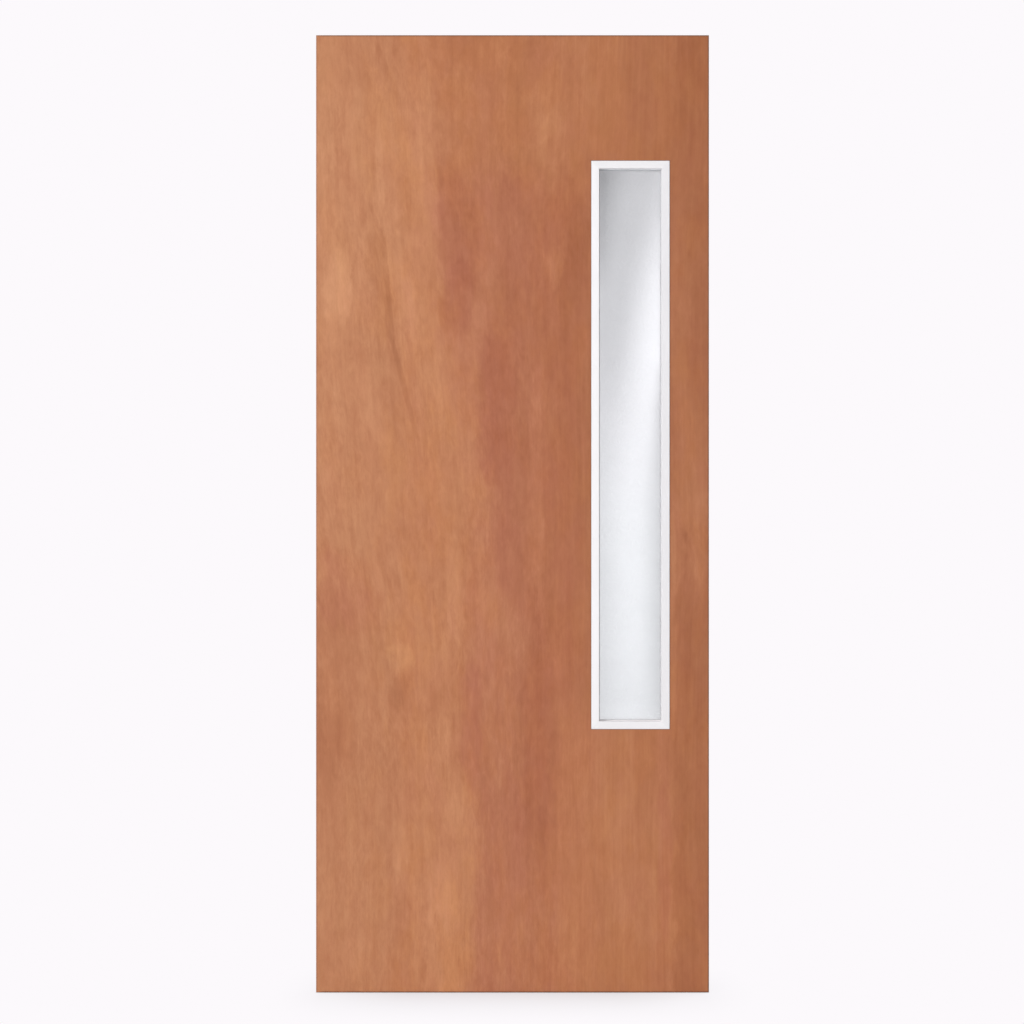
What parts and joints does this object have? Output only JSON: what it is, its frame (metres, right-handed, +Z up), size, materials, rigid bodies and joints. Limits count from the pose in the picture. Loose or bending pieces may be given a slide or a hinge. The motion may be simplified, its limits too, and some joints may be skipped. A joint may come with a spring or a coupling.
{
  "type": "glazed fire door leaf",
  "caption": "Flush plywood fire door leaf with a tall narrow vision panel beside its lock edge, glazed between white mitred beads on both faces.",
  "frame": {"origin": "on the face of the hinge edge, at the bottom of the leaf, in the middle of its thickness", "axes": "+X from the hinge edge to the lock edge, -Y out of the front face, +Z up"},
  "size_m": [0.813, 0.05, 1.981],
  "materials": {
    "plywood_facing": "satin",
    "hardwood_lipping": "satin",
    "softwood_frame": "satin",
    "particle_core": "satin",
    "white_painted_wood": "satin",
    "hardwood_block": "satin",
    "intumescent_strip": "satin",
    "glazing_tape": "satin",
    "fire_glass": "gloss"
  },
  "bodies": {
    "root": {"aperture_head": "softwood_frame", "aperture_liner": "intumescent_strip", "aperture_post_hinge_side": "softwood_frame", "aperture_post_lock_side": "softwood_frame", "aperture_sill": "softwood_frame", "back_bead_head": "white_painted_wood", "back_bead_hinge_side": "white_painted_wood", "back_bead_lock_side": "white_painted_wood", "back_bead_sill": "white_painted_wood", "back_facing": "plywood_facing", "back_seal_head": "glazing_tape", "back_seal_hinge_side": "glazing_tape", "back_seal_lock_side": "glazing_tape", "back_seal_sill": "glazing_tape", "bottom_rail": "softwood_frame", "core_main_bay": "particle_core", "core_over_glazing": "particle_core", "core_under_glazing": "particle_core", "front_bead_head": "white_painted_wood", "front_bead_hinge_side": "white_painted_wood", "front_bead_lock_side": "white_painted_wood", "front_bead_sill": "white_painted_wood", "front_facing": "plywood_facing", "front_seal_head": "glazing_tape", "front_seal_hinge_side": "glazing_tape", "front_seal_lock_side": "glazing_tape", "front_seal_sill": "glazing_tape", "glass_pane": "fire_glass", "hinge_edge_lipping": "hardwood_lipping", "hinge_stile": "softwood_frame", "lock_edge_lipping": "hardwood_lipping", "lock_stile": "softwood_frame", "setting_block_hinge_side": "hardwood_block", "setting_block_lock_side": "hardwood_block", "top_rail": "softwood_frame"}
  },
  "joints": []
}
